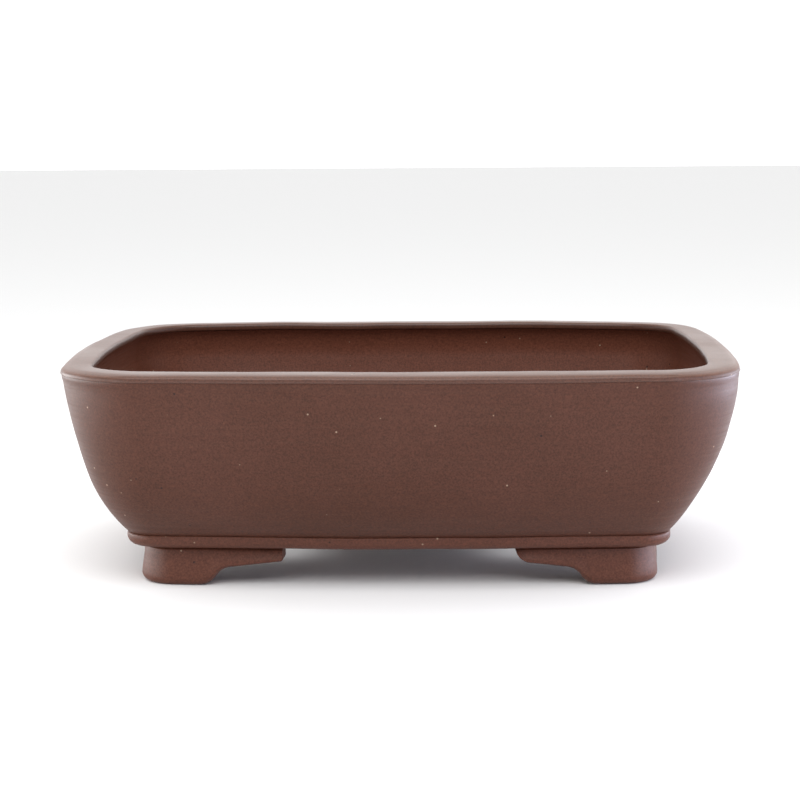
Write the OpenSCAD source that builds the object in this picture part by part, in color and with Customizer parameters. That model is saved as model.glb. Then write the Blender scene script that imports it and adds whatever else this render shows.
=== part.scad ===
// Bonsai pot: an unglazed stoneware bowl, rounded oblong in plan, on four bracket feet.
// The potter makes eight pieces and lutes them together with slip before the firing.
// The origin is at the middle of the pot, at table height. +X runs along the pot, +Z is up.

/* [Overall] */
// Length over the rim, at the middle of the two ends
pot_l = 255; // [235:1:275]
// Width over the rim, at the middle of the two long sides
pot_w = 192; // [180:1:205]
// Height from the table to the top of the rim
pot_h = 82.5; // [79:0.5:84]
// Radius of the rim's outer corners, seen from above
corner_r = 36; // [36:1:44]
// Bow of each long side, as half the angle of its arc in degrees
side_bow = 6; // [2:0.5:7]
// Bow of each end, as half the angle of its arc in degrees
end_bow = 5.5; // [2:0.5:7]

/* [Rim] */
// Width of the flat rim strip
rim_w = 12; // [10:0.5:14]
// Thickness of the rim strip, whose edges are half round
rim_t = 3; // [2.5:0.25:4]
// How far the wall's top stands back under the rim's outer edge
wall_back = 0.8; // [0.5:0.1:1.2]

/* [Wall] */
// Thickness of the wall, measured square to its face
wall_t = 6.5; // [5:0.5:7]
// Radius of the gentle curve of the upper wall
upper_r = 190; // [185:1:205]
// Lean of the wall under the rim, in degrees from upright
lean_top = 6.5; // [5:0.5:7]
// Lean of the wall where the upper curve turns into the belly
lean_belly = 18; // [17:0.5:20]
// Radius of the belly curve, measured on the outside
belly_r = 52.5; // [50:0.5:56]

/* [Base] */
// Height of the feet, from the table to the underside of the floor
foot_h = 15; // [14:0.5:16]
// Thickness of the floor slab
floor_t = 6; // [5:0.5:7]
// Height of the moulding round the base
bead_h = 5; // [4.5:0.25:5.5]
// How far the moulding's edge lies inside the rim's edge
bead_in = 22.9; // [22.6:0.1:23.1]
// Radius of the moulding's rounded underside
bead_r = 3.5; // [3:0.25:3.75]
// Thickness of the moulding from its edge to the floor slab
bead_t = 4; // [3.8:0.1:4.5]

/* [Feet] */
// How far the feet lie inside the rim's edge
foot_in = 28.75; // [28.25:0.25:30]
// Corner radius of the feet, seen from above
foot_corner_r = 13; // [12:0.5:16]
// Thickness of the bent strip that a foot is cut from
foot_t = 9; // [7:0.5:10]
// Flare of the foot's face above its rounded lower edge
foot_flare = 1.2; // [0:0.1:1.5]
// Radius of the lower edge of the foot's face
foot_edge_r = 3; // [2:0.5:4]
// Length of the sole along each side, from the corner
sole_l = 24; // [20:0.5:27]
// Length of the curve between the sole and the arm
ogee_l = 13; // [10:0.5:14]
// Height that the curve rises
ogee_h = 7; // [6:0.5:8]
// Reach of the arm along the long side, from the corner
side_arm = 55.5; // [50:0.5:60]
// Reach of the arm along the end, from the corner
end_arm = 44; // [42:0.5:46]
// Radius of the arm's tip
tip_r = 4.5; // [3:0.5:4.5]
// Slope of the arm's underside in degrees
arm_slope = 7; // [0:1:9]

/* [Holes] */
// Diameter of the two drain holes
drain_d = 26; // [20:1:30]
// Distance between the drain holes' centres
drain_gap = 100; // [80:1:110]
// Diameter of the four holes for tie wires
wire_d = 5; // [4:0.5:6]
// Distance between the wire holes along the pot
wire_gap_l = 144; // [130:1:150]
// Distance between the wire holes across the pot
wire_gap_w = 76; // [60:1:84]

/* [Hidden] */
$fn = 720;
// Number of straight steps that stand for each end, corner and long side in the swept rings, and
// for the tip of a foot's arm and the rest of it
end_steps = 6;
corner_steps = 10;
side_steps = 8;
tip_steps = 4;
arm_steps = 20;

// Heights of the joints between the pieces
bead_z = foot_h + bead_h;
floor_z = foot_h + floor_t;
rim_z = pot_h - rim_t;
// Inset of the floor slab's edge, which the moulding wraps
floor_in = bead_in + bead_t;
// How far a cutter or a cutting outline stands clear of the face that it cuts
spare = 1;

// An outline is [half length, half width, corner radius]. Each side is one arc and each corner
// another, and where two arcs meet they share a tangent. p and q are what the sides' radii
// exceed the corner's radius by, found from the two equations that this tangency gives.
rim_line = [pot_l / 2, pot_w / 2, corner_r];
foot_line = [pot_l / 2 - foot_in, pot_w / 2 - foot_in, foot_corner_r];
function det() = sin(side_bow) * sin(end_bow) - (1 - cos(end_bow)) * (1 - cos(side_bow));
function p(o) = ((o[0] - o[2]) * sin(end_bow) - (1 - cos(end_bow)) * (o[1] - o[2])) / det();
function q(o) = (sin(side_bow) * (o[1] - o[2]) - (1 - cos(side_bow)) * (o[0] - o[2])) / det();
function side_r(o) = p(o) + o[2];
function end_r(o) = q(o) + o[2];
function corner_x(o) = p(o) * sin(side_bow);
function corner_y(o) = q(o) * sin(end_bow);

// Centres of the wall's two curves, in the section plane, where x is measured outwards from the
// rim's edge. The belly's centre lies on the upper curve's radius at the lean where they meet.
upper_c = [-wall_back - upper_r * cos(lean_top), rim_z + upper_r * sin(lean_top)];
belly_c = upper_c + (upper_r - belly_r) * [cos(lean_belly), -sin(lean_belly)];

// Points along an arc, from one angle to another. Skipping 1 leaves out the first point, which
// the line before the arc already ends on.
function arc(centre, r, from, to, steps, skip = 0) =
    [for (i = [skip:steps]) let (a = from + (to - from) * i / steps) centre + r * [cos(a), sin(a)]];

// Places along an outline, each as [centre x, centre y, radius, angle], for one arc of it
function stations_on(x, y, r, from, to, steps) =
    [for (i = [0:steps - 1]) [x, y, r, from + (to - from) * i / steps]];

// Places all the way round an outline, anticlockwise from the front of the right-hand end
function stations(o) = let (
    x = corner_x(o), y = corner_y(o), r = o[2], e = end_bow, s = side_bow,
    end_x = o[0] - end_r(o), side_y = o[1] - side_r(o)
) concat(
    stations_on(end_x, 0, end_r(o), -e, e, end_steps),
    stations_on(x, y, r, e, 90 - s, corner_steps),
    stations_on(0, side_y, side_r(o), 90 - s, 90 + s, side_steps),
    stations_on(-x, y, r, 90 + s, 180 - e, corner_steps),
    stations_on(-end_x, 0, end_r(o), 180 - e, 180 + e, end_steps),
    stations_on(-x, -y, r, 180 + e, 270 - s, corner_steps),
    stations_on(0, -side_y, side_r(o), 270 - s, 270 + s, side_steps),
    stations_on(x, -y, r, 270 + s, 360 - e, corner_steps)
);

// The point that lies a distance outwards from the outline at one of its places
function beside(station, outwards) =
    [station[0], station[1]] + (station[2] + outwards) * [cos(station[3]), sin(station[3])];

// Closed ring with the same section, a list of [outwards, height], all the way round an outline
module sweep(o, section) {
    places = stations(o);
    n = len(section);
    m = len(places);
    polyhedron(
        points = [for (place = places, s = section) concat(beside(place, s.x), s.y)],
        faces = [for (i = [0:m - 1], k = [0:n - 1])
            [i * n + k, i * n + (k + 1) % n, (i + 1) % m * n + (k + 1) % n, (i + 1) % m * n + k]],
        convexity = 6
    );
}

// The wall's section between its two curved faces. Its foot is stepped to hook over the floor.
function wall_section() = let (
    inner_r = belly_r - wall_t,
    top_lean = asin((upper_c.y - rim_z) / upper_r),
    top_lean_in = asin((upper_c.y - rim_z) / (upper_r - wall_t)),
    foot_lean = asin((belly_c.y - bead_z) / belly_r),
    foot_lean_in = asin((belly_c.y - floor_z) / inner_r)
) concat(
    arc(upper_c, upper_r, -top_lean, -lean_belly, 4),
    arc(belly_c, belly_r, -lean_belly, -foot_lean, 6, skip = 1),
    [[-floor_in, bead_z], [-floor_in, floor_z]],
    arc(belly_c, inner_r, -foot_lean_in, -lean_belly, 6),
    arc(upper_c, upper_r - wall_t, -lean_belly, -top_lean_in, 4, skip = 1)
);

function rim_section() = let (edge_r = rim_t / 2) concat(
    arc([edge_r - rim_w, rim_z + edge_r], edge_r, 270, 90, 6),
    arc([-edge_r, rim_z + edge_r], edge_r, 90, -90, 6)
);

function bead_section() = concat(
    [[-bead_in, bead_z]],
    arc([-bead_in - bead_r, foot_h + bead_r], bead_r, 0, -90, 5),
    [[-floor_in, foot_h], [-floor_in, bead_z]]
);

function foot_section() = concat(
    [[0, foot_h]],
    arc([foot_flare - foot_edge_r, foot_edge_r], foot_edge_r, 0, -90, 6),
    [[-foot_t, 0], [-foot_t, foot_h]]
);

// Depth of a foot's strip under the floor at a distance from the corner: the whole height over
// the sole, then less by an ogee of two equal arcs, by the arm's slope and by its rounded tip
function foot_depth(run, arm) = let (
    ogee_r = (pow(ogee_l, 2) + pow(ogee_h, 2)) / (4 * ogee_h),
    past = run - sole_l,
    rise = past <= 0 ? 0
        : past <= ogee_l / 2 ? ogee_r - sqrt(pow(ogee_r, 2) - pow(past, 2))
        : past <= ogee_l ? ogee_h - ogee_r + sqrt(pow(ogee_r, 2) - pow(ogee_l - past, 2))
        : ogee_h + (past - ogee_l) * tan(arm_slope),
    into_tip = max(run - arm + tip_r, 0)
) foot_h - rise - tip_r + sqrt(pow(tip_r, 2) - pow(into_tip, 2));

// Distances from the corner at which an arm's depth is set, from its tip to the sole
function runs(arm) = concat(
    [for (i = [0:tip_steps]) arm - tip_r * (1 - cos(90 * i / tip_steps))],
    [for (i = [1:arm_steps]) arm - tip_r - (arm - tip_r - sole_l) * i / arm_steps]
);

// Places round the back right corner, anticlockwise, each with the foot's depth after it
function foot_places() = let (
    o = foot_line,
    along_end = runs(end_arm),
    along_side = runs(side_arm),
    last = len(along_side) - 1
) concat(
    [for (run = along_end)
        [o[0] - end_r(o), 0, end_r(o), asin((o[1] - run) / end_r(o)), foot_depth(run, end_arm)]],
    [for (i = [0:corner_steps]) [corner_x(o), corner_y(o), o[2],
        end_bow + (90 - side_bow - end_bow) * i / corner_steps, foot_h]],
    [for (i = [last:-1:0]) let (run = along_side[i])
        [0, o[1] - side_r(o), side_r(o), 90 - asin((o[0] - run) / side_r(o)), foot_depth(run, side_arm)]]
);

// The foot of the back right corner. Its section goes round the corner and is squashed towards
// the floor at each place. The other three feet are its mirror images.
module foot() {
    places = foot_places();
    section = foot_section();
    n = len(section);
    m = len(places);
    polyhedron(
        points = [for (place = places, s = section)
            concat(beside(place, s.x), foot_h - (foot_h - s.y) * place[4] / foot_h)],
        faces = concat(
            [[for (k = [n - 1:-1:0]) k], [for (k = [0:n - 1]) (m - 1) * n + k]],
            [for (i = [0:m - 2], k = [0:n - 1])
                [i * n + k, i * n + (k + 1) % n, (i + 1) * n + (k + 1) % n]],
            [for (i = [0:m - 2], k = [0:n - 1])
                [i * n + k, (i + 1) * n + (k + 1) % n, (i + 1) * n + k]]
        ),
        convexity = 6
    );
}

// Flat strip laid on the wall's top, level with its outside and overhanging it inside
module rim() {
    color("#b79386") sweep(rim_line, rim_section());
}

// Bellied wall, pressed in one length and closed round the corners
module wall() {
    color("#5c3a2e") sweep(rim_line, wall_section());
}

// Slab that the wall stands on, with the drain holes and the holes for tie wires
module floor() {
    color("#6b4437") difference() {
        translate([0, 0, foot_h])
            linear_extrude(floor_t) polygon([for (place = stations(rim_line)) beside(place, -floor_in)]);
        for (x = [-1, 1]) {
            translate([x * drain_gap / 2, 0, foot_h - spare]) cylinder(h = floor_t + 2 * spare, d = drain_d);
            for (y = [-1, 1])
                translate([x * wire_gap_l / 2, y * wire_gap_w / 2, foot_h - spare])
                    cylinder(h = floor_t + 2 * spare, d = wire_d);
        }
    }
}

// Moulding that covers the joint between the floor's edge and the wall's foot
module base_bead() {
    color("#6e4034") sweep(rim_line, bead_section());
}

module foot_front_left() {
    color("#744438") mirror([1, 0, 0]) mirror([0, 1, 0]) foot();
}

module foot_front_right() {
    color("#744438") mirror([0, 1, 0]) foot();
}

module foot_back_left() {
    color("#744438") mirror([1, 0, 0]) foot();
}

module foot_back_right() {
    color("#744438") foot();
}

rim();
wall();
floor();
base_bead();
foot_front_left();
foot_front_right();
foot_back_left();
foot_back_right();
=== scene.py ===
# %% [markdown]
# # A bonsai pot in unglazed stoneware
#
# The pot is an oblong bowl on four bracket feet, built by hand from slabs of stiff purple-brown
# clay and fired without a glaze. This lesson takes the plain CAD model, which already has the
# right sizes, and builds the same eight pieces again with the soft edges, seams and small faults
# that a potter's hands leave. Lengths are in metres, +X runs along the pot and +Z is up.

# %% Load the CAD model and keep its box
from math import asin, cos, degrees, hypot, pi, radians, sin, sqrt, tan

import bmesh
import bpy
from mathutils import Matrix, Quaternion, Vector


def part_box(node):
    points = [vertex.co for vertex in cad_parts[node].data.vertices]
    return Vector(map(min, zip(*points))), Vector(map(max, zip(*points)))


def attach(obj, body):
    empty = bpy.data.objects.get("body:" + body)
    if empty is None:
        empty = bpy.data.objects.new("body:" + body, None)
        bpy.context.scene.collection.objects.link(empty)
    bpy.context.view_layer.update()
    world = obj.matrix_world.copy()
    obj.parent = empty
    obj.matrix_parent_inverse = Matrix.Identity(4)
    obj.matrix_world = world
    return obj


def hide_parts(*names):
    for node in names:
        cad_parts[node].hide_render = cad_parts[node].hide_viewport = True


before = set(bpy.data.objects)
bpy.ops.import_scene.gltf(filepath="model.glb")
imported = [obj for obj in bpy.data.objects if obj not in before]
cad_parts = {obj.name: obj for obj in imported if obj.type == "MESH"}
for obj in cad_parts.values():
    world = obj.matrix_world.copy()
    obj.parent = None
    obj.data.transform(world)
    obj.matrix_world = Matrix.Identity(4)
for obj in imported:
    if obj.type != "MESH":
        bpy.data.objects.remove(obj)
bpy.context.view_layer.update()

MM = 0.001

# %% [markdown]
# ## How the outline is drawn
#
# Seen from above, each side of the pot is one shallow arc and each corner is a tighter one. Where
# two arcs meet they share a tangent, so no corner shows a kink. The potter would cut a card
# template. Here the arcs' centres come from the pot's own length and width. Every piece that runs
# round the pot is then one section carried along the same three arcs. The CAD pieces' own boxes
# give the sizes, so that the two models stay in step.

# %% Sizes read from the CAD pieces
rim_low, rim_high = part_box("rim")
floor_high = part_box("floor")[1]
bead_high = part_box("base_bead")[1]
foot_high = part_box("foot_front_left")[1]

half_length = rim_high.x
half_width = rim_high.y
rim_top = rim_high.z
rim_base = rim_low.z
bead_top = bead_high.z
foot_top = foot_high.z
floor_top = floor_high.z
# edges in a section are counted outwards from the rim's edge
floor_edge = floor_high.x - half_length
bead_edge = bead_high.x - half_length
print("rim", round(half_length / MM, 2), round(half_width / MM, 2), "top", round(rim_top / MM, 2))

# %% The outline's arcs
# how far a side turns from its middle to where its corner begins
SIDE_BOW = radians(6)
END_BOW = radians(5.5)
RIM_CORNER_R = 36 * MM


def outline(length, width, corner):
    """Arcs of an outline, from its half length, half width and corner radius.

    Each arc is its centre and its angle, for the front left quarter, from the front's middle."""
    det = sin(SIDE_BOW) * sin(END_BOW) - (1 - cos(END_BOW)) * (1 - cos(SIDE_BOW))
    long_way, wide_way = length - corner, width - corner
    p = (long_way * sin(END_BOW) - (1 - cos(END_BOW)) * wide_way) / det
    q = (sin(SIDE_BOW) * wide_way - (1 - cos(SIDE_BOW)) * long_way) / det
    return {
        "side": ((0, p + corner - width), SIDE_BOW, p + corner),
        "corner": ((-p * sin(SIDE_BOW), -q * sin(END_BOW)), pi / 2 - SIDE_BOW - END_BOW, corner),
        "end": ((q + corner - length, 0), END_BOW, q + corner),
    }


RIM_LINE = outline(half_length, half_width, RIM_CORNER_R)
for part, (centre, angle, radius) in RIM_LINE.items():
    print(part, "arc of radius", round(radius / MM, 1), "mm over", round(degrees(angle), 1), "degrees")

# %% [markdown]
# ## Drawing a section and carrying it round
#
# A potter runs a template along the clay. The same can be done in edit mode: one vertex is
# extruded from point to point until it has drawn the section, and Spin then carries that section
# round the three arcs of a quarter of the pot. One Mirror modifier, across both of the pot's middle
# planes, makes the whole ring. Spin turns clockwise seen from above, so the front left quarter is
# the one that is drawn.

# %% Draw one closed section
# points closer than this become one
MERGE = 0.01 * MM


def select_only(piece):
    """Deselect everything but one piece, and make it the active one."""
    bpy.ops.object.select_all(action="DESELECT")
    piece.select_set(True)
    bpy.context.view_layer.objects.active = piece


def one_vertex(name, place):
    """Start a piece as a single vertex, and stay in edit mode."""
    bpy.ops.object.select_all(action="DESELECT")
    bpy.ops.mesh.primitive_plane_add(size=MM, location=(0, 0, 0))
    piece = bpy.context.object
    piece.name = name
    piece.data.name = name
    bpy.ops.object.mode_set(mode="EDIT")
    bpy.ops.mesh.select_mode(type="VERT")
    bpy.ops.mesh.merge(type="CENTER")
    bpy.ops.transform.translate(value=place)
    return piece


def draw_loop(name, points):
    """Draw a closed loop by extruding one vertex from point to point, and leave it selected."""
    piece = one_vertex(name, points[0])
    for last, point in zip(points, points[1:] + points[:1]):
        step = Vector(point) - Vector(last)
        bpy.ops.mesh.extrude_vertices_move(TRANSFORM_OT_translate={"value": step})
    bpy.ops.mesh.select_all(action="SELECT")
    bpy.ops.mesh.remove_doubles(threshold=MERGE)
    return piece


def arc(centre, radius, start, stop, steps):
    """Points along an arc in a section, with its angles in degrees."""
    turns = [radians(start + (stop - start) * i / steps) for i in range(steps + 1)]
    return [(centre[0] + radius * cos(a), centre[1] + radius * sin(a)) for a in turns]


# %% Pick, finish and clean
def middle_of(part):
    """The middle of a vertex, an edge or a face."""
    if isinstance(part, bmesh.types.BMVert):
        return part.co
    return sum((v.co for v in part.verts), Vector()) / len(part.verts)


def pick(piece, kind, test):
    """In edit mode, select only the vertices, edges or faces whose middle passes a test."""
    bpy.ops.mesh.select_mode(type=kind)
    bpy.ops.mesh.select_all(action="DESELECT")
    shape = bmesh.from_edit_mesh(piece.data)
    group = {"VERT": shape.verts, "EDGE": shape.edges, "FACE": shape.faces}[kind]
    found = 0
    for part in group:
        if test(middle_of(part)):
            part.select_set(True)
            found += 1
    shape.select_flush(True)
    bmesh.update_edit_mesh(piece.data)
    return found


def apply_modifier(piece, kind, **settings):
    """Add one modifier with its settings and apply it."""
    bpy.ops.object.modifier_add(type=kind)
    modifier = piece.modifiers[-1]
    for key, value in settings.items():
        setattr(modifier, key, value)
    bpy.ops.object.modifier_apply(modifier=modifier.name)


def clean():
    """In edit mode, merge doubles and point every face outwards, then leave edit mode."""
    bpy.ops.mesh.select_all(action="SELECT")
    bpy.ops.mesh.remove_doubles(threshold=MERGE)
    bpy.ops.mesh.normals_make_consistent(inside=False)
    bpy.ops.object.mode_set(mode="OBJECT")


# %% Carry a section round the pot
def carry_round(piece, steps):
    """Spin what is selected round a quarter of the pot, and mirror that into the whole."""
    for part, count in steps.items():
        centre, angle = RIM_LINE[part][:2]
        bpy.ops.mesh.spin(steps=count, angle=angle, center=(*centre, 0), axis=(0, 0, 1))
    bpy.ops.object.mode_set(mode="OBJECT")
    apply_modifier(piece, "MIRROR", use_axis=(True, True, False), merge_threshold=2 * MERGE)
    bpy.ops.object.mode_set(mode="EDIT")


def ring(name, section):
    """A closed ring from a section, a loop of points [outwards from the rim's edge, height]."""
    piece = draw_loop(name, [(0, -half_width - out, up) for out, up in section])
    carry_round(piece, {"side": 30, "corner": 30, "end": 20})
    clean()
    print(name, "has", len(section), "points in its section and", len(piece.data.polygons), "faces")
    return piece


# %% [markdown]
# ## The wall
#
# The wall is a slab 6.5 mm thick, pressed so that its upper part leans in slowly and its belly
# turns in faster. Its face is therefore two arcs with a shared tangent. It could be made by
# shelling a solid, but the real wall's thickness is square to its face, and drawing both faces
# gives that exactly. Inside, slip is worked into the corner under the lip, so that the wall
# thickens up to it and the lip hardly overhangs. The top ends in a small cove behind the rim's
# band, and the foot turns under before it meets the base moulding, which gives the thin line
# between the two.

# %% The two arcs of the wall's face
WALL_T = 6.5 * MM
UPPER_R = 190 * MM
BELLY_R = 52.5 * MM
# lean from upright in degrees, at the rim and where the belly begins
LEAN_TOP = 6.5
LEAN_BELLY = 18
# how far the wall's top stands back from the rim's edge
WALL_BACK = 0.8 * MM

upper_centre = (
    -WALL_BACK - UPPER_R * cos(radians(LEAN_TOP)),
    rim_base + UPPER_R * sin(radians(LEAN_TOP)),
)
between = UPPER_R - BELLY_R
belly_centre = (
    upper_centre[0] + between * cos(radians(LEAN_BELLY)),
    upper_centre[1] - between * sin(radians(LEAN_BELLY)),
)


def lean_at(centre, radius, height):
    """Lean in degrees of an arc's face at a height below its centre."""
    return degrees(asin((centre[1] - height) / radius))


print("belly's lean at the floor", round(lean_at(belly_centre, BELLY_R, bead_top), 1), "degrees")

# %% Draw the wall
# how far below the rim the cove ends outside and the slip ends inside
COVE_DROP = 3 * MM
SLIP_DROP = 10 * MM
# how far above the moulding the wall's foot begins to turn under
CREASE = 0.15 * MM
cove_end = lean_at(upper_centre, UPPER_R, rim_base - COVE_DROP)
foot_lean = lean_at(belly_centre, BELLY_R, bead_top + CREASE)
inner_foot_lean = lean_at(belly_centre, BELLY_R - WALL_T, floor_top)
inner_top_lean = lean_at(upper_centre, UPPER_R - WALL_T, rim_base - SLIP_DROP)

outer_face = arc(upper_centre, UPPER_R, -cove_end, -LEAN_BELLY, 16)
outer_face += arc(belly_centre, BELLY_R, -LEAN_BELLY, -foot_lean, 20)[1:]
face_foot = outer_face[-1]
turn_under = [
    (face_foot[0] - 0.25 * MM, face_foot[1] - 0.12 * MM),
    (face_foot[0] - 0.9 * MM, face_foot[1] - 0.2 * MM),
    (floor_edge, bead_top),
    (floor_edge, floor_top),
]
inner_face = arc(belly_centre, BELLY_R - WALL_T, -inner_foot_lean, -LEAN_BELLY, 18)
inner_face += arc(upper_centre, UPPER_R - WALL_T, -LEAN_BELLY, -inner_top_lean, 14)[1:]
# slip that thickens the wall under the lip: distance outwards and drop below the joint, in mm
slip = [(-8.76, 7.5), (-8.98, 5.0), (-9.5, 2.6), (-10.3, 1.1), (-11.2, 0.1), (-11.2, 0.0)]
fillet = [(out * MM, rim_base - drop * MM) for out, drop in slip]
cove = [
    (-0.62 * MM, rim_base),
    (-0.62 * MM, rim_base - 0.5 * MM),
    (-0.74 * MM, rim_base - 1.2 * MM),
    (-0.93 * MM, rim_base - 2.0 * MM),
]

wall = ring("clay_wall", cove + outer_face + turn_under + inner_face + fillet)

# %% [markdown]
# ## The rim
#
# The rim is a flat strip of clay, 12 mm wide, laid on the wall's top. Its outer edge is the pot's
# widest line and its inner edge is a rounded lip. The potter trims the top with a knife and then
# smooths the outside with a finger, which leaves a fine groove just under the top edge and a flat
# band below it. A bevel could only round the edges evenly. Here the groove and the band are drawn
# in the section, so that a light from any side finds a real edge.

# %% Draw the rim
RIM_W = 12 * MM
LIP_R = 1.35 * MM
LIP_UNDER_R = 0.6 * MM
# how far in from its edge the rim sits on the wall
SEAT = 4 * MM
lip_x = -RIM_W + LIP_R
# the trimmed top, from the lip to the fine groove: distance outwards and drop, in mm
trimmed_top = [(-9.4, 0.02), (-7.6, 0.0), (-5.8, 0.04), (-4.4, 0.1), (-3.3, 0.2), (-2.4, 0.34)]
trimmed_top += [(-1.7, 0.54), (-1.25, 0.74), (-0.98, 0.92), (-0.92, 1.06)]
# the band under it, which runs out on the wall
band = [(-0.8, 1.16), (-0.44, 1.22), (-0.29, 1.36), (-0.22, 1.64), (-0.17, 2.0), (-0.15, 2.36)]
band += [(-0.2, 2.68), (-0.34, 2.88), (-0.62, 3.0)]

rim_section = [
    (-SEAT, rim_base),
    *arc((-RIM_W + LIP_UNDER_R, rim_base + LIP_UNDER_R + 0.05 * MM), LIP_UNDER_R, 270, 180, 5),
    *arc((lip_x, rim_top - LIP_R - 0.05 * MM), LIP_R, 180, 90, 7),
    *[(out * MM, rim_top - drop * MM) for out, drop in trimmed_top + band],
]
rim = ring("clay_rim", rim_section)

# %% [markdown]
# ## The rim's corners
#
# The finger follows the groove along the long sides but rubs it nearly out round the corners and
# ends, where the rim's edge is simply rolled over. The section could change on its way round, but
# smoothing the groove's vertices there softens it as the finger does.

# %% Rub the groove round the corners
GROOVE_REACH = 98 * MM
GROOVE_HIGH = rim_top - 0.3 * MM
GROOVE_LOW = rim_top - 2.6 * MM


def in_groove(middle):
    """True at the groove's level, beyond its reach along a long side."""
    return abs(middle.x) > GROOVE_REACH and GROOVE_LOW < middle.z < GROOVE_HIGH


bpy.ops.object.mode_set(mode="EDIT")
print("vertices rubbed smooth:", pick(rim, "VERT", in_groove))
bpy.ops.mesh.vertices_smooth(factor=0.5, repeat=14)
clean()

# %% [markdown]
# ## The base moulding
#
# A coil of clay is pressed into the joint between the floor's edge and the wall's foot and worked
# to a rounded moulding. Its top turns in behind the wall's foot, which leaves a narrow crease, and
# its lower side is a quarter round that rolls under to the feet.

# %% Draw the base moulding
SHOULDER_R = 0.9 * MM
UNDER_R = 3.5 * MM
bead_section = [
    (floor_edge, bead_top),
    (bead_edge - 1.7 * MM, bead_top - 0.1 * MM),
    *arc((bead_edge - SHOULDER_R, bead_top - SHOULDER_R), SHOULDER_R, 104, 8, 7),
    *arc((bead_edge - UNDER_R, foot_top + UNDER_R), UNDER_R, -4, -90, 10),
    (floor_edge, foot_top),
]
bead = ring("clay_base_bead", bead_section)

# %% [markdown]
# ## The floor
#
# The floor is a slab cut to the same outline, with two large drain holes, each punched with a tin
# cutter, and four small holes that a tie wire goes through. A Boolean could punch them, but it
# leaves ragged faces round a hole. Filling between the outline and the holes' circles, and
# extruding that face down, keeps one clean edge all round each hole. The fill leaves long thin
# faces, which would crease when the clay is made uneven later on, so they are subdivided first. A
# bevel then softens the holes' edges as a wet sponge does.

# %% Fill between the outline and the holes
DRAIN_R = 13 * MM
DRAIN_X = 50 * MM
WIRE_R = 2.5 * MM
WIRE_X = 72 * MM
WIRE_Y = 38 * MM

slab = one_vertex("clay_floor", (0, -half_width - floor_edge, floor_top))
carry_round(slab, {"side": 24, "corner": 12, "end": 16})
# each hole's middle, radius and number of corners
holes = [(x, 0, DRAIN_R, 48) for x in (-DRAIN_X, DRAIN_X)]
holes += [(x, y, WIRE_R, 20) for x in (-WIRE_X, WIRE_X) for y in (-WIRE_Y, WIRE_Y)]
for x, y, radius, corners in holes:
    place = (x, y, floor_top)
    bpy.ops.mesh.primitive_circle_add(vertices=corners, radius=radius, location=place)
bpy.ops.mesh.select_all(action="SELECT")
bpy.ops.mesh.remove_doubles(threshold=MERGE)
bpy.ops.mesh.fill(use_beauty=True)
bpy.ops.mesh.select_all(action="SELECT")
bpy.ops.mesh.subdivide(number_cuts=4)
print("the floor's face has", len(bmesh.from_edit_mesh(slab.data).faces), "parts")

# %% Thicken the floor and soften its holes
drop = {"value": (0, 0, foot_top - floor_top)}
bpy.ops.mesh.extrude_region_move(TRANSFORM_OT_translate=drop)
clean()
NEAR = 0.05 * MM


def at_hole(middle):
    """True on the upper and lower edge of a hole."""
    level = min(abs(middle.z - floor_top), abs(middle.z - foot_top)) < NEAR
    inside = [hypot(middle.x - x, middle.y - y) < radius + NEAR for x, y, radius, corners in holes]
    return level and any(inside)


bpy.ops.object.mode_set(mode="EDIT")
print("edges round the holes:", pick(slab, "EDGE", at_hole))
bpy.ops.mesh.bevel(offset=0.7 * MM, segments=3)
clean()

# %% [markdown]
# ## The feet
#
# Each foot is a strip of clay bent round the corner. Its face flares a little towards the table
# and rounds under at the bottom. The underside is cut away in an ogee, so that a short sole
# carries the corner and a thin arm runs along each side. The foot could be cut from a spun strip
# with a Boolean, but the real edge under an arm is rounded by hand, not sharp. Here the section is
# carried round in small steps and squashed towards its top at each one, so that its rounded
# edge follows the ogee. Each foot is cut by hand, so its arms end differently.

# %% The underside of an arm
FOOT_IN = 28.75 * MM
FOOT_T = 9 * MM
FOOT_CORNER_R = 13 * MM
long_half = half_length - FOOT_IN
wide_half = half_width - FOOT_IN
FOOT_LINE = outline(long_half, wide_half, FOOT_CORNER_R)
SOLE = 24 * MM
OGEE = 13 * MM
OGEE_RISE = 7 * MM
ARM_SLOPE = tan(radians(7))
# the top of the strip, which is not squashed, and where the strip's underside may rise to
NECK = 1.4 * MM
THINNEST = NECK + 0.1 * MM


def arm_height(along, reach, tip_r):
    """How deep the foot hangs at a distance from its corner, for an arm's reach and tip radius."""
    ogee_r = (OGEE**2 + OGEE_RISE**2) / (4 * OGEE_RISE)
    run = along - SOLE
    if run <= 0:
        rise = 0
    elif run <= OGEE / 2:
        rise = ogee_r - sqrt(ogee_r**2 - run**2)
    elif run <= OGEE:
        rise = OGEE_RISE - ogee_r + sqrt(ogee_r**2 - (OGEE - run) ** 2)
    else:
        rise = OGEE_RISE + (run - OGEE) * ARM_SLOPE
    left = reach - along
    height = foot_top - rise
    if left < tip_r:
        height += sqrt(tip_r**2 - (tip_r - left) ** 2) - tip_r
    return max(height, THINNEST)


def arm_stations(reach):
    """Distances from the corner where the section is set, from an arm's tip to its sole."""
    round_the_tip = [0.02, 0.12, 0.35, 0.7, 1.2, 1.8, 2.5, 3.4, 4.4]
    every_mm = [5.4 + i for i in range(80)]
    spots = [reach - back * MM for back in round_the_tip + every_mm]
    return [spot for spot in spots if spot > SOLE - 1.5 * MM]


print("a long arm is set at", len(arm_stations(55 * MM)), "places")


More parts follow.
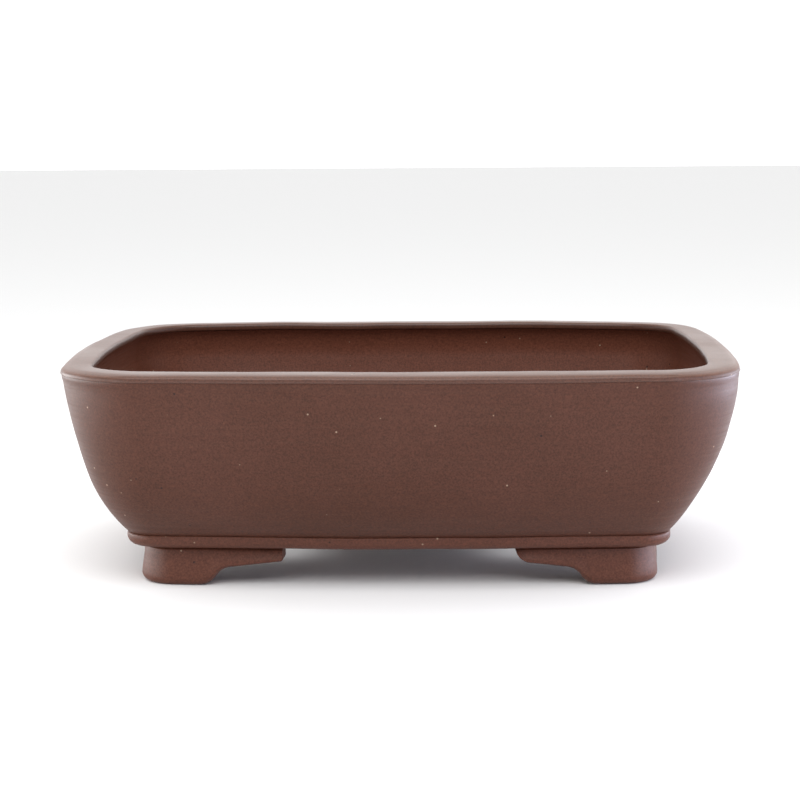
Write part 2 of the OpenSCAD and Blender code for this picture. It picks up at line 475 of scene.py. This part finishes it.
# %% The foot's section, and how it is squashed
def foot_section():
    """The strip's section where it stands on its sole, as points [back from the face, height]."""
    return [
        (FOOT_T, foot_top),
        (1.0 * MM, foot_top),
        (1.0 * MM, foot_top - 0.8 * MM),
        *[(-x, z) for x, z in arc((-0.85 * MM, foot_top - 1.9 * MM), 0.8 * MM, 70, 6, 4)],
        (-0.2 * MM, foot_top - 4.5 * MM),
        (-0.6 * MM, foot_top - 7.5 * MM),
        (-1.0 * MM, foot_top - 10 * MM),
        *[(-x, z) for x, z in arc((-1.8 * MM, 3 * MM), 3 * MM, 4, -84, 9)],
        (3.2 * MM, 0),
        (FOOT_T - 1.2 * MM, 0),
        (FOOT_T - 0.35 * MM, 0.35 * MM),
        (FOOT_T, 1.2 * MM),
        (FOOT_T, foot_top - NECK),
    ]


def select_verts(piece, indices):
    """Add vertices to the selection by their index."""
    shape = bmesh.from_edit_mesh(piece.data)
    shape.verts.ensure_lookup_table()
    for index in indices:
        shape.verts[index].select_set(True)
    shape.select_flush(True)
    bmesh.update_edit_mesh(piece.data)


def squash(piece, was, now):
    """Squash the selected section below its neck from one height to another."""
    level = foot_top - NECK
    shape = bmesh.from_edit_mesh(piece.data)
    chosen = [v.index for v in shape.verts if v.select]
    for vert in shape.verts:
        if vert.select and vert.co.z > level - MERGE:
            vert.select_set(False)
    bmesh.update_edit_mesh(piece.data)
    ratio = (now - NECK) / (was - NECK)
    bpy.ops.transform.resize(value=(1, 1, ratio), center_override=(0, 0, level))
    select_verts(piece, chosen)
    return now


def carry_on(piece, centre, angle, was, now):
    """Spin the section on by one step and squash it to its new height."""
    bpy.ops.mesh.spin(steps=1, angle=angle, center=(*centre, 0), axis=(0, 0, 1))
    return squash(piece, was, now)


print("the foot's section has", len(foot_section()), "points")


# %% Draw a foot
def foot(name, side_reach, end_reach, side_tip, end_tip):
    """One bracket foot at the front left corner, with the reach and tip radius of each arm."""
    side_centre, side_angle, side_r = FOOT_LINE["side"]
    corner_centre, corner_angle = FOOT_LINE["corner"][:2]
    end_centre, end_angle, end_r = FOOT_LINE["end"]
    piece = draw_loop(name, [(0, back - wide_half, up) for back, up in foot_section()])

    # the arm along the side, from its tip
    side_stops = arm_stations(side_reach)
    turned = asin((long_half - side_stops[0]) / side_r)
    bpy.ops.transform.rotate(value=turned, orient_axis="Z", center_override=(*side_centre, 0))
    height = squash(piece, foot_top, arm_height(side_stops[0], side_reach, side_tip))
    first = [v.index for v in bmesh.from_edit_mesh(piece.data).verts]
    for spot in side_stops[1:]:
        angle = asin((long_half - spot) / side_r)
        now = arm_height(spot, side_reach, side_tip)
        height = carry_on(piece, side_centre, angle - turned, height, now)
        turned = angle
    height = carry_on(piece, side_centre, side_angle - turned, height, foot_top)

    # the corner, which stands on the sole, and the arm along the end, to its tip
    bpy.ops.mesh.spin(steps=14, angle=corner_angle, center=(*corner_centre, 0), axis=(0, 0, 1))
    turned = 0
    for spot in arm_stations(end_reach)[::-1]:
        angle = end_angle - asin((wide_half - spot) / end_r)
        now = arm_height(spot, end_reach, end_tip)
        height = carry_on(piece, end_centre, angle - turned, height, now)
        turned = angle

    # a face closes each tip
    bpy.ops.mesh.edge_face_add()
    bpy.ops.mesh.select_all(action="DESELECT")
    select_verts(piece, first)
    bpy.ops.mesh.edge_face_add()
    clean()
    print(name, "has", len(piece.data.polygons), "faces")
    return piece


foot_front_left = foot("clay_foot_front_left", 55.7 * MM, 44 * MM, 0.9 * MM, 3 * MM)

# %% [markdown]
# ## The other three feet
#
# The right front foot has a slimmer, rounder arm than the left one. Each of the two is drawn once
# and its mirror image stands at the opposite corner behind. A negative scale turns a mesh inside
# out, so each copy's normals are recalculated.

# %% Copy the feet to the other corners
def mirrored(piece, name, across_x, across_y):
    """A copy of a piece with its own mesh, mirrored in the pot's middle planes."""
    select_only(piece)
    bpy.ops.object.duplicate(linked=False)
    copy = bpy.context.object
    copy.name = name
    copy.data.name = name
    bpy.ops.object.mode_set(mode="EDIT")
    bpy.ops.mesh.select_all(action="SELECT")
    flip = (-1 if across_x else 1, -1 if across_y else 1, 1)
    bpy.ops.transform.resize(value=flip, center_override=(0, 0, 0))
    clean()
    return copy


right_pattern = foot("clay_foot_right_pattern", 55 * MM, 44 * MM, 5.2 * MM, 2.5 * MM)
foot_front_right = mirrored(right_pattern, "clay_foot_front_right", True, False)
foot_back_left = mirrored(right_pattern, "clay_foot_back_left", False, True)
foot_back_right = mirrored(foot_front_left, "clay_foot_back_right", True, True)
bpy.data.objects.remove(right_pattern)

# every piece, under the name of the CAD piece that it replaces
pieces = {
    "rim": rim,
    "wall": wall,
    "floor": slab,
    "base_bead": bead,
    "foot_front_left": foot_front_left,
    "foot_front_right": foot_front_right,
    "foot_back_left": foot_back_left,
    "foot_back_right": foot_back_right,
}
print("pieces made:", len(pieces))

# %% [markdown]
# ## Unevenness of hand work
#
# A pressed and dried pot is never quite true. Its faces wander by a fraction of a millimetre over
# a few centimetres. Moving each vertex by a soft cloud pattern does this. The cloud's three colours
# push along X, Y and Z, so neighbours that touch move together and no joint opens.

# %% Let the clay wander
def cloud(name, size, depth):
    """A soft cloud pattern whose lumps are about a given size."""
    pattern = bpy.data.textures.new(name, "CLOUDS")
    pattern.cloud_type = "COLOR"
    pattern.noise_scale = size
    pattern.noise_depth = depth
    pattern.noise_basis = "BLENDER_ORIGINAL"
    return pattern


slow_drift = cloud("drying_drift", 55 * MM, 1)
tool_ripple = cloud("tool_ripple", 11 * MM, 1)


def uneven(piece):
    """Make a piece wander slowly as a whole and ripple finely."""
    select_only(piece)
    for pattern, strength in ((slow_drift, 0.9 * MM), (tool_ripple, 0.14 * MM)):
        apply_modifier(
            piece,
            "DISPLACE",
            texture=pattern,
            texture_coords="LOCAL",
            direction="RGB_TO_XYZ",
            mid_level=0.5,
            strength=strength,
        )


for piece in pieces.values():
    uneven(piece)
print("soles now at", round(min(v.co.z for v in foot_front_left.data.vertices) / MM, 2), "mm")

# %% [markdown]
# ## The pot is not quite even
#
# The right-hand end of this pot was pressed a little fuller under the rim and drawn in more
# above the base than the left. A lattice is a cage of a few points that carries everything inside
# it. Moving its points at that end changes all eight pieces by the same amount.

# %% Press the right-hand end
# how far the end is pushed out at even steps up the pot, in mm
END_PRESS = [-0.9, -0.7, -1.0, -1.7, -0.6, 0.9, 1.5, 1.6, 0.6]
LEVELS = len(END_PRESS)
# where the push begins and how far on it is full, as shares of the cage's length
PUSH_START = -0.02
PUSH_RUN = 0.37

bpy.ops.object.select_all(action="DESELECT")
bpy.ops.object.add(type="LATTICE", location=(0, 0, rim_top / 2))
cage = bpy.context.object
cage.scale = (2.1 * half_length, 2.1 * half_width, 1.02 * rim_top)
cage.data.points_u = 7
cage.data.points_v = 2
cage.data.points_w = LEVELS
cage.data.interpolation_type_w = "KEY_CARDINAL"
for point in cage.data.points:
    level = round((point.co.z + 0.5) * (LEVELS - 1))
    share = min(max((point.co.x - PUSH_START) / PUSH_RUN, 0), 1)
    point.co_deform.x += share * END_PRESS[level] * MM / cage.scale.x
bpy.context.view_layer.update()
for piece in pieces.values():
    select_only(piece)
    apply_modifier(piece, "LATTICE", object=cage)
bpy.data.objects.remove(cage)
print("the right-hand end reaches", round(max(v.co.x for v in wall.data.vertices) / MM, 1), "mm")

# %% [markdown]
# ## The clay
#
# Purple clay is a stoneware rich in iron. It is burnished with a smooth tool before the firing and
# gets no glaze, so it has a fine grain, a dull sheen at a glancing angle, small pale specks of grog
# and dark pits. One shader could paint the whole pot, but each part was worked in its own way, so
# one function makes four clays. All have the index of refraction of fired clay, about 1.5.

# %% Colour and node helpers
def colour(code):
    """Linear colour of an sRGB hex code."""
    parts = [int(code[i : i + 2], 16) / 255 for i in (1, 3, 5)]
    return (*[c / 12.92 if c <= 0.04045 else ((c + 0.055) / 1.055) ** 2.4 for c in parts], 1)


def add(tree, kind, settings=None, **inputs):
    """Add one node, with its settings, and set or link its inputs by name or by number."""
    node = tree.nodes.new(kind)
    for key, value in (settings or {}).items():
        setattr(node, key, value)
    for key, value in inputs.items():
        by_number = key[0] == "i" and key[1:].isdigit()
        socket = node.inputs[int(key[1:]) if by_number else key.replace("_", " ")]
        if isinstance(value, bpy.types.NodeSocket):
            tree.links.new(value, socket)
        else:
            socket.default_value = value
    return node


print("the wall's clay, linear:", [round(part, 3) for part in colour("#45261a")[:3]])


# %% [markdown]
# ## Tone of the body, with painted light
#
# The kiln's heat changes a clay's tone slowly from place to place. The inside of the wall and the top
# of the rim are painted paler: painted light that stands in for the light which reaches the inside and
# which the rim's top catches. Both are told apart by which way the face looks, so the painted light
# stays with the shape.

# %% Tone of the body
def body_tone(tree, place, shift, body, warm, inside, top):
    """Colour of the clay, with a painted-light paler inside or top where one is given."""
    # the kiln's slow change of tone, in patches of about 45 mm
    kiln = add(tree, "ShaderNodeTexNoise", Vector=shift, Scale=22, Detail=3, Roughness=0.55)
    tone = add(tree, "ShaderNodeMapRange", i0=kiln.outputs[0], i1=0.35, i2=0.68)
    base = add(
        tree, "ShaderNodeMix", {"data_type": "RGBA"},
        i0=tone.outputs[0], i6=colour(body), i7=colour(warm),
    )
    normal = add(tree, "ShaderNodeNewGeometry").outputs["Normal"]
    # faces of the inside look towards the pot's middle and are painted paler, as painted light
    if inside:
        outwards = add(tree, "ShaderNodeVectorMath", {"operation": "MULTIPLY"}, i0=place, i1=(1, 1, 0))
        facing = add(
            tree, "ShaderNodeVectorMath", {"operation": "DOT_PRODUCT"},
            i0=normal, i1=outwards.outputs[0],
        )
        inside_painted_light_mask = add(tree, "ShaderNodeMapRange", i0=facing.outputs["Value"], i1=0.002, i2=-0.002)
        base = add(
            tree, "ShaderNodeMix", {"data_type": "RGBA"},
            i0=inside_painted_light_mask.outputs[0], i6=base.outputs[2], i7=colour(inside),
        )
    # faces of the top look up and are painted paler, as a painted highlight on the rim's top
    if top:
        upwards = add(tree, "ShaderNodeSeparateXYZ", i0=normal).outputs[2]
        top_painted_light_mask = add(tree, "ShaderNodeMapRange", i0=upwards, i1=0.35, i2=0.85)
        base = add(
            tree, "ShaderNodeMix", {"data_type": "RGBA"},
            i0=top_painted_light_mask.outputs[0], i6=base.outputs[2], i7=colour(top),
        )
    return base.outputs[2]


# %% [markdown]
# ## Flecks
#
# Grog is fired clay, crushed and mixed in so that the pot dries without cracking. A grain of it that
# lies at the surface shows as a pale speck, and one that the tool pulled out leaves a dark pit. A
# Voronoi pattern puts one fleck in each cell, and the cell's own colour then keeps only some.

# %% Flecks
def flecks(tree, place, cell, wide, narrow, channel, rarity):
    """A mask of small round flecks, in the cells whose own colour passes the rarity.

    Wide and narrow say how far from its middle a fleck begins and is full, as shares of a cell."""
    cells = add(tree, "ShaderNodeTexVoronoi", Vector=place, Scale=1 / cell)
    is_fleck = add(tree, "ShaderNodeMapRange", i0=cells.outputs["Distance"], i1=wide, i2=narrow)
    lot = add(tree, "ShaderNodeSeparateColor", i0=cells.outputs["Color"]).outputs[channel]
    kept = add(tree, "ShaderNodeMath", {"operation": "GREATER_THAN"}, i0=lot, i1=rarity)
    fleck = add(
        tree, "ShaderNodeMath", {"operation": "MULTIPLY"}, i0=is_fleck.outputs[0], i1=kept.outputs[0],
    )
    return fleck.outputs[0]


# %% [markdown]
# ## Burnished stoneware
#
# The smooth tool runs round the pot and leaves long faint marks that are paler and shine more. The
# grain breaks the sheen up. Both are also in the relief, with the pits, since raking light shows
# them as much by their shading as by their colour.

# %% Burnished stoneware
def stoneware(name, body, warm, pale, sheen, roughness, streaks, seed, inside=None, top=None):
    """Unglazed clay from its body colour, a warmer and a paler one, and how it was rubbed."""
    material = bpy.data.materials.new(name)
    material.use_nodes = True
    tree = material.node_tree
    tree.nodes.clear()
    place = add(tree, "ShaderNodeTexCoord").outputs["Object"]
    shift = add(tree, "ShaderNodeMapping", i0=place, i1=(seed, seed * 0.7, seed * 0.3)).outputs[0]
    base = body_tone(tree, place, shift, body, warm, inside, top)

    # rubbing marks that run round the pot, about 1 mm high and 40 mm long
    rubbed = add(tree, "ShaderNodeMapping", i0=shift, i3=(25, 25, 900)).outputs[0]
    marks = add(tree, "ShaderNodeTexNoise", Vector=rubbed, Scale=1, Detail=3, Roughness=0.6).outputs[0]
    mark_tone = add(tree, "ShaderNodeMapRange", i0=marks, i1=0.45, i2=0.85, i4=streaks)
    rubbed_base = add(
        tree, "ShaderNodeMix", {"data_type": "RGBA"},
        i0=mark_tone.outputs[0], i6=base, i7=colour(pale),
    )
    # grain of the clay body, drawn at 0.7 mm, as coarse as it needs to be to show
    grain = add(tree, "ShaderNodeTexNoise", Vector=shift, Scale=1400, Detail=2, Roughness=0.7).outputs[0]
    grain_tone = add(tree, "ShaderNodeMapRange", i0=grain, i1=0.3, i2=0.7, i3=0.68, i4=1.32)
    grained = add(
        tree, "ShaderNodeMix", {"data_type": "RGBA", "blend_type": "MULTIPLY"},
        i0=1.0, i6=rubbed_base.outputs[2], i7=grain_tone.outputs[0],
    )
    # pale grog specks of 0.5 mm in a fifth of the cells, which are 5 mm wide
    specks = flecks(tree, shift, 5 * MM, 0.085, 0.05, 0, 0.8)
    specked = add(
        tree, "ShaderNodeMix", {"data_type": "RGBA"},
        i0=specks, i6=grained.outputs[2], i7=colour("#8f7766"),
    )
    # dark pits of 0.6 mm in nearly a fifth of the cells, which are 8 mm wide
    pit_place = add(tree, "ShaderNodeMapping", i0=shift, i1=(0.31, 0.17, 0.05)).outputs[0]
    pits = flecks(tree, pit_place, 8 * MM, 0.07, 0.03, 1, 0.82)
    pitted = add(
        tree, "ShaderNodeMix", {"data_type": "RGBA"},
        i0=pits, i6=specked.outputs[2], i7=colour("#241410"),
    )
    # polish: rubbed marks shine more, and the grain breaks the sheen
    polish = add(
        tree, "ShaderNodeMapRange",
        i0=marks, i1=0.3, i2=0.8, i3=roughness + 0.06, i4=roughness - 0.06,
    )
    # relief of grain, marks and pits, each with its own share
    relief = 0.0
    for height, share in ((grain, 0.35), (marks, 0.5), (pits, -2.5)):
        step = add(tree, "ShaderNodeMath", {"operation": "MULTIPLY_ADD"}, i0=height, i1=share, i2=relief)
        relief = step.outputs[0]
    bump = add(tree, "ShaderNodeBump", Strength=0.5, Distance=0.08 * MM, Height=relief)
    shader = add(
        tree, "ShaderNodeBsdfPrincipled",
        Base_Color=pitted.outputs[2], Roughness=polish.outputs[0], IOR=1.5,
        Specular_IOR_Level=sheen, Normal=bump.outputs[0],
    )
    add(tree, "ShaderNodeOutputMaterial", Surface=shader.outputs[0])
    print(name, "has", len(tree.nodes), "nodes")
    return material


# %% [markdown]
# ## The pot's four clays
#
# The wall is burnished, which brings its roughness to about 0.4 and darkens it. The rim has the
# strongest sheen, because the knife's blade closes the clay as it cuts. The moulding and the feet
# were worked with a wet finger, which brings fine iron-rich clay to the surface, so they are redder
# and duller. The floor was only sponged, and is the roughest.

# %% Mix the clays
# the wall's paler inside colour is painted light, not a colour of the clay
wall_clay = stoneware(
    "burnished_clay_painted_light_inside", "#45261a", "#4a2a1f", "#573d2e",
    sheen=0.24, roughness=0.42, streaks=0.12, seed=0.0, inside="#603729",
)
# the rim's paler top colour is a painted highlight, not a colour of the clay
rim_clay = stoneware(
    "knife_trimmed_clay_painted_highlight_top", "#462719", "#4b2b1f", "#5f4434",
    sheen=0.5, roughness=0.42, streaks=0.12, seed=1.3, top="#593728",
)
trim_clay = stoneware(
    "finger_worked_red_clay", "#4f2e23", "#553227", "#614233",
    sheen=0.22, roughness=0.46, streaks=0.1, seed=2.1,
)
floor_clay = stoneware(
    "sponged_purple_clay", "#563328", "#5a372c", "#6b4e3d",
    sheen=0.2, roughness=0.6, streaks=0.05, seed=3.7,
)

# %% [markdown]
# ## Handing the pieces over
#
# Each piece gets its clay and rides on the pot's one body. Each stands in for the CAD piece of the
# same name, which is hidden. Smooth shading up to 42 degrees keeps the small roundings soft and
# leaves the real edges crisp.

# %% Give each piece its clay and its body, and hide the CAD piece it stands in for
clays = {"rim": rim_clay, "wall": wall_clay, "floor": floor_clay}
for node, piece in pieces.items():
    select_only(piece)
    piece.data.materials.clear()
    piece.data.materials.append(clays.get(node, trim_clay))
    bpy.ops.object.shade_smooth_by_angle(angle=radians(42))
    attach(piece, "root")
    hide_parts(node)
    print(piece.name, "replaces", node, "in", piece.data.materials[0].name)

# %% [markdown]
# ## The studio
#
# A small pot is shown on white paper with soft light. A dark clay shows its form mostly by its
# sheen, so the lights are placed for what each face mirrors. The sky is bright behind the pot and
# dark in front, which brings out the rim's top. A large soft box above the front lights the wall. A
# low strip on each side catches the rounded ends and leaves the inside corners dark.

# %% Paper
bpy.ops.object.select_all(action="DESELECT")
bpy.ops.mesh.primitive_plane_add(size=12, location=(0, 0, 0))
table_top = bpy.context.object
table_top.name = "studio_floor"
# matt paper, which is white and mirrors next to nothing
paper = bpy.data.materials.new("white_paper")
paper.use_nodes = True
paper.node_tree.nodes["Principled BSDF"].inputs["Base Color"].default_value = colour("#eaeaea")
paper.node_tree.nodes["Principled BSDF"].inputs["Roughness"].default_value = 0.9
table_top.data.materials.append(paper)
print("paper laid at height", table_top.location.z)

# %% Sky
FRONT_GLOW = 0.0
BACK_GLOW = 2.0
world = bpy.data.worlds.new("studio")
bpy.context.scene.world = world
world.use_nodes = True
sky = world.node_tree
way = add(sky, "ShaderNodeTexCoord").outputs["Generated"]
ahead = add(sky, "ShaderNodeSeparateXYZ", i0=way).outputs[1]
glow = add(sky, "ShaderNodeMapRange", i0=ahead, i1=-1.0, i2=1.0, i3=FRONT_GLOW, i4=BACK_GLOW)
sky.links.new(glow.outputs[0], sky.nodes["Background"].inputs[1])
sky.nodes["Background"].inputs[0].default_value = (1, 1, 1, 1)
print("sky from", FRONT_GLOW, "in front to", BACK_GLOW, "behind")


# %% Soft boxes
def soft_box(name, place, aim, width, height, power, tint="#ffffff"):
    """A rectangular area light that faces a point."""
    bpy.ops.object.light_add(type="AREA", location=place)
    lamp = bpy.context.object
    lamp.name = name
    lamp.data.shape = "RECTANGLE"
    lamp.data.size = width
    lamp.data.size_y = height
    lamp.data.energy = power
    lamp.data.color = colour(tint)[:3]
    lamp.rotation_euler = (Vector(aim) - Vector(place)).to_track_quat("-Z", "Y").to_euler()
    print(name, "of", power, "W")


STRIP_OUT = 0.55
STRIP_Y = -0.05
STRIP_Z = 0.055
between_strips = (0, STRIP_Y, STRIP_Z)
soft_box("low_strip_left", (-STRIP_OUT, STRIP_Y, STRIP_Z), between_strips, 0.8, 0.1, 3.2)
soft_box("low_strip_right", (STRIP_OUT, STRIP_Y, STRIP_Z), between_strips, 0.8, 0.1, 4.4, "#e6eaff")
soft_box("soft_box_front", (0.0, -0.85, 1.0), (0, 0, 0.04), 1.2, 1.0, 16)

# %% [markdown]
# ## The camera
#
# The camera stands about 77 cm from the pot's middle and a little above it, so that the inside
# shows as a narrow band and the feet are still seen from the side. Its lens is a long one, which
# narrows the pot's far side only a little. It is held a touch askew, as by hand. The Standard view
# keeps white paper white, where Blender's default view would grey it.

# %% Camera
CAMERA_PLACE = (0.02136, -0.77341, 0.17194)
CAMERA_AIM = (-0.00098, -0.00003, 0.06027)
CAMERA_ROLL = radians(-0.416)
bpy.ops.object.camera_add(location=CAMERA_PLACE)
camera = bpy.context.object
camera.name = "studio_camera"
camera.data.lens = 88.19
camera.data.sensor_width = 36
camera.rotation_mode = "QUATERNION"
look = (Vector(CAMERA_AIM) - camera.location).to_track_quat("-Z", "Y")
camera.rotation_quaternion = look @ Quaternion((0, 0, 1), CAMERA_ROLL)
bpy.context.scene.camera = camera
bpy.context.scene.view_settings.view_transform = "Standard"
print("camera at", CAMERA_PLACE, "with a lens of", round(camera.data.lens, 1), "mm")
